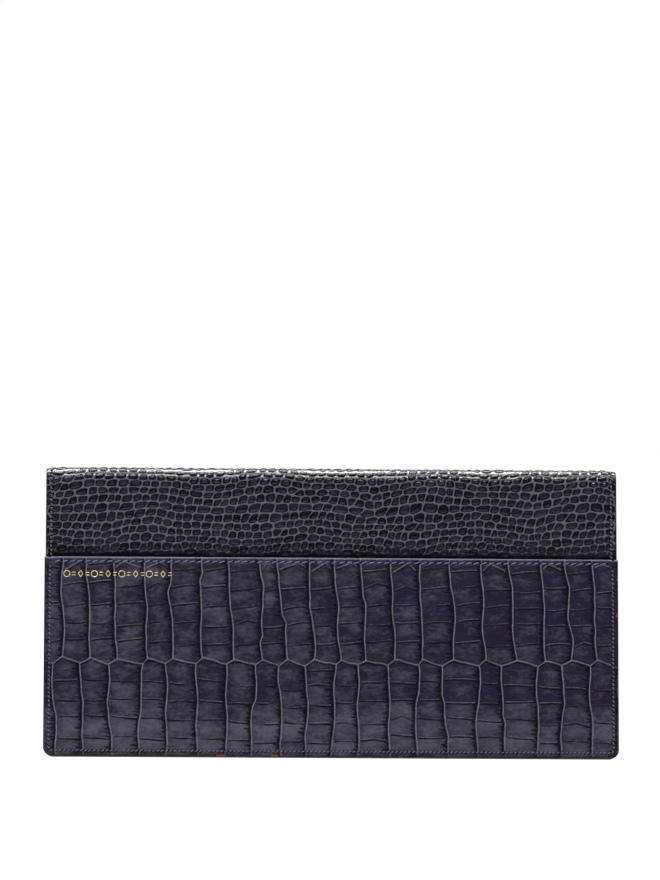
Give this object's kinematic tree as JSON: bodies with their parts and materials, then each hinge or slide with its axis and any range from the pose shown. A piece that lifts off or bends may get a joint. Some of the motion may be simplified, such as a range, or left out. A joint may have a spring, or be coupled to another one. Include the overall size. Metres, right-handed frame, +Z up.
{
  "type": "passport holder wallet",
  "caption": "Fold-over travel wallet in embossed leather with an outer boarding-pass pocket, an inner passport pocket, note and ticket pockets and card slots.",
  "frame": {"origin": "middle of the footprint, on the surface that the wallet stands on", "axes": "+X along the wallet's long side, +Z up, -Y out of the side with the boarding-pass pocket"},
  "size_m": [0.23, 0.053, 0.1154],
  "materials": {
    "pocket_leather": "satin, embossed with large belly scales",
    "body_leather": "glossy, embossed with small flank scales",
    "inner_leather": "fine grain, semi-matte",
    "lining": "smooth, semi-matte",
    "board": "bonded leather fibre board, raw",
    "thread": "waxed polyester thread",
    "edge_paint": "edge paint, rubbed brown in places",
    "gold_foil": "hot foil stamp"
  },
  "bodies": {
    "back_panel": {"back_leather": "body_leather", "back_stiffener_board": "board", "back_lining": "lining", "boarding_pocket_leather": "pocket_leather", "boarding_pocket_lining": "lining", "ticket_pocket": "inner_leather", "currency_pocket": "inner_leather", "back_perimeter_seam": "thread", "back_upper_seam_left": "thread", "back_upper_seam_right": "thread", "boarding_pocket_mouth_seam": "thread", "ticket_pocket_mouth_seam": "thread", "currency_pocket_mouth_seam": "thread"},
    "spine": {"spine_leather": "body_leather", "spine_reinforcement": "board", "spine_lining": "lining", "spine_seam_left": "thread", "spine_seam_right": "thread"},
    "front_cover": {"front_leather": "body_leather", "front_stiffener_board": "board", "front_lining": "lining", "document_pocket": "inner_leather", "passport_pocket": "inner_leather", "card_slot_rear": "inner_leather", "card_slot_middle": "inner_leather", "card_slot_front": "inner_leather", "front_perimeter_seam": "thread", "document_pocket_mouth_seam": "thread", "passport_pocket_mouth_seam": "thread", "passport_pocket_side_seam": "thread", "card_slot_rear_mouth_seam": "thread", "card_slot_middle_mouth_seam": "thread", "card_slot_front_mouth_seam": "thread", "card_slot_side_seam": "thread"}
  },
  "joints": [
    {"name": "back_fold", "type": "hinge", "parent": "back_panel", "child": "spine", "pos_m": [0, -0.00329, 0.11433], "axis": [1, 0, 0], "range_deg": [-10, 80]},
    {"name": "cover_fold", "type": "hinge", "parent": "spine", "child": "front_cover", "pos_m": [0, 0.00536, 0.11433], "axis": [1, 0, 0], "range_deg": [-10, 80]}
  ],
  "couplings": [
    {"joint": "cover_fold", "follows": "back_fold", "ratio": 1}
  ]
}
